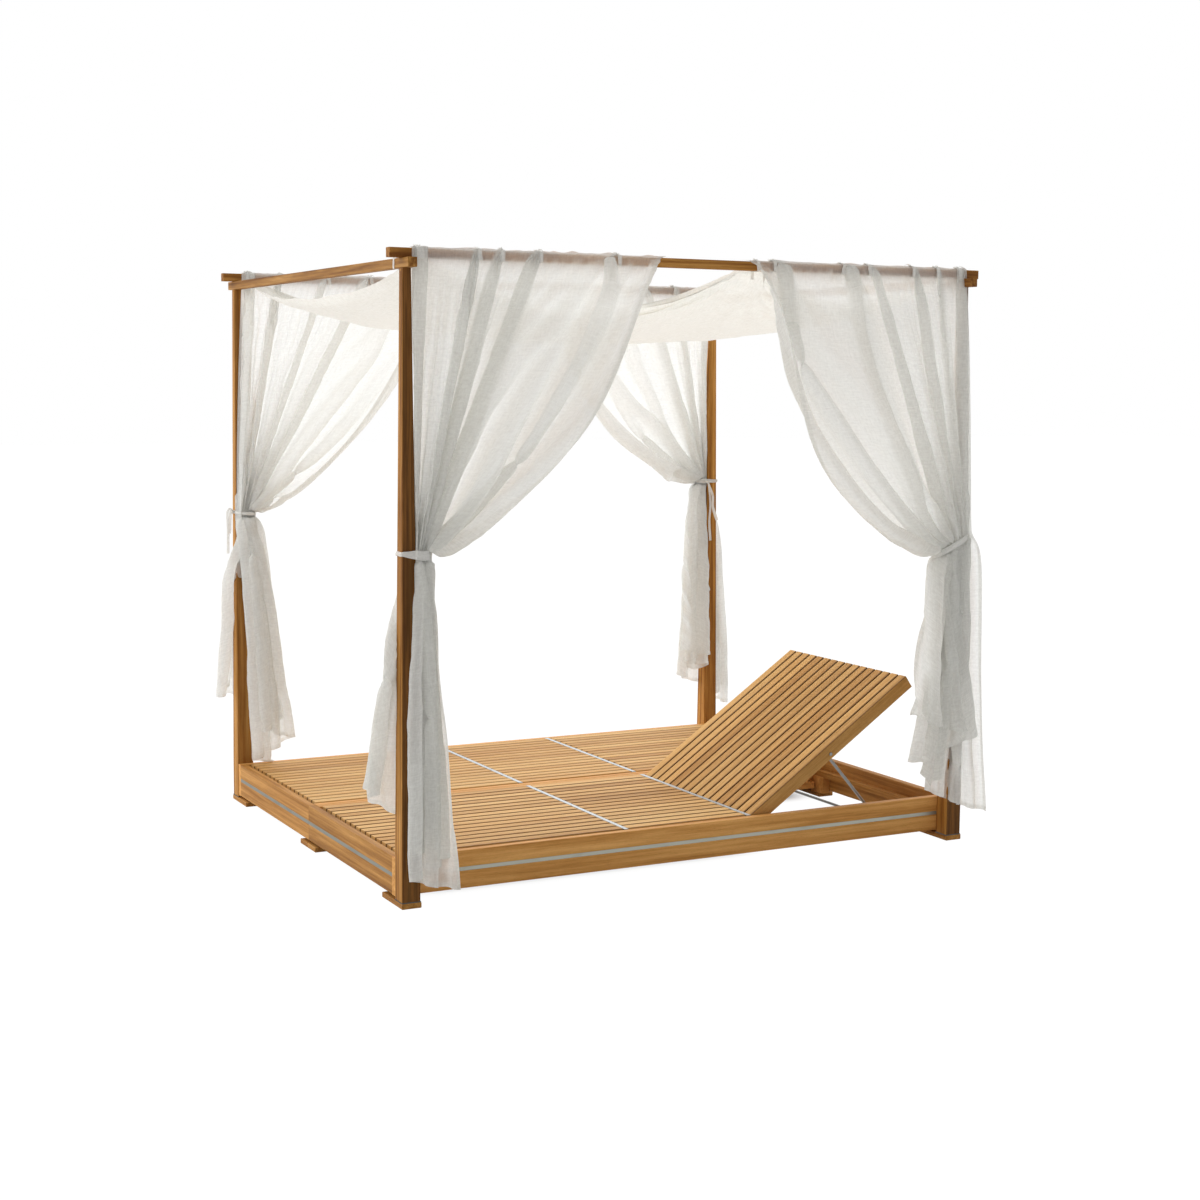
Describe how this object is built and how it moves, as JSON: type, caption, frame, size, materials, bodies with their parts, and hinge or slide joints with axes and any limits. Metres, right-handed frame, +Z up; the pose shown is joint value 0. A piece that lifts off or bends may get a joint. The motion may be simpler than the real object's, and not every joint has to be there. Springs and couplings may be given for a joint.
{
  "type": "outdoor canopy daybed",
  "caption": "Wide teak outdoor daybed on low boards, with tilting slatted backrests, tapered posts, a light top frame, a sagging cloth canopy and tied-back sheer curtains.",
  "frame": {"origin": "on the floor under the middle of the frame", "axes": "+X from the foot end to the head end where the backrests are, +Y from the near bed to the far bed, +Z up"},
  "size_m": [2.148, 1.793, 1.977],
  "materials": {
    "teak": "oiled golden-brown teak, fine straight grain",
    "steel": "brushed stainless steel",
    "curtain_linen": "sheer off-white linen",
    "canopy_linen": "cream linen"
  },
  "bodies": {
    "frame": {"canopy": "canopy_linen", "far_centre_rail": "teak", "far_deck_strip": "steel", "far_foot_curtain": "curtain_linen", "far_foot_end_board": "teak", "far_foot_end_stripe": "steel", "far_foot_foot": "teak", "far_foot_panel": "teak", "far_foot_post": "teak", "far_foot_post_plate": "steel", "far_head_curtain": "curtain_linen", "far_head_end_board": "teak", "far_head_end_stripe": "steel", "far_head_foot": "teak", "far_head_ledger": "teak", "far_head_post": "teak", "far_head_post_plate": "steel", "far_hinge_strip": "steel", "far_inner_hinge_pin": "steel", "far_inner_rack": "teak", "far_long_beam": "teak", "far_middle_panel": "teak", "far_outer_hinge_pin": "steel", "far_outer_rack": "teak", "far_side_board": "teak", "far_side_stripe": "steel", "foot_centre_foot": "teak", "foot_cross_beam": "teak", "head_centre_foot": "teak", "head_cross_beam": "teak", "near_centre_rail": "teak", "near_deck_strip": "steel", "near_foot_curtain": "curtain_linen", "near_foot_end_board": "teak", "near_foot_end_stripe": "steel", "near_foot_foot": "teak", "near_foot_panel": "teak", "near_foot_post": "teak", "near_foot_post_plate": "steel", "near_head_curtain": "curtain_linen", "near_head_end_board": "teak", "near_head_end_stripe": "steel", "near_head_foot": "teak", "near_head_ledger": "teak", "near_head_post": "teak", "near_head_post_plate": "steel", "near_hinge_strip": "steel", "near_inner_hinge_pin": "steel", "near_inner_rack": "teak", "near_long_beam": "teak", "near_middle_panel": "teak", "near_outer_hinge_pin": "steel", "near_outer_rack": "teak", "near_side_board": "teak", "near_side_stripe": "steel"},
    "near_backrest": {"near_backrest": "teak"},
    "near_prop": {"near_prop": "steel"},
    "far_backrest": {"far_backrest": "teak"},
    "far_prop": {"far_prop": "steel"}
  },
  "joints": [
    {"name": "near_backrest_tilt", "type": "hinge", "parent": "frame", "child": "near_backrest", "pos_m": [0.25, -0.404, 0.138], "axis": [0, -1, 0], "range_deg": [-34.5, 10.5]},
    {"name": "near_prop_swing", "type": "hinge", "parent": "near_backrest", "child": "near_prop", "pos_m": [0.56047, -0.404, 0.32711], "axis": [0, 1, 0], "range_deg": [-75.9, 23.1]},
    {"name": "far_backrest_tilt", "type": "hinge", "parent": "frame", "child": "far_backrest", "pos_m": [0.25, 0.404, 0.138], "axis": [0, -1, 0], "range_deg": [0, 45]},
    {"name": "far_prop_swing", "type": "hinge", "parent": "far_backrest", "child": "far_prop", "pos_m": [0.61298, 0.404, 0.118], "axis": [0, 1, 0], "range_deg": [0, 99]}
  ],
  "couplings": [
    {"joint": "near_prop_swing", "follows": "near_backrest_tilt", "ratio": 2.2},
    {"joint": "far_prop_swing", "follows": "far_backrest_tilt", "ratio": 2.2}
  ]
}
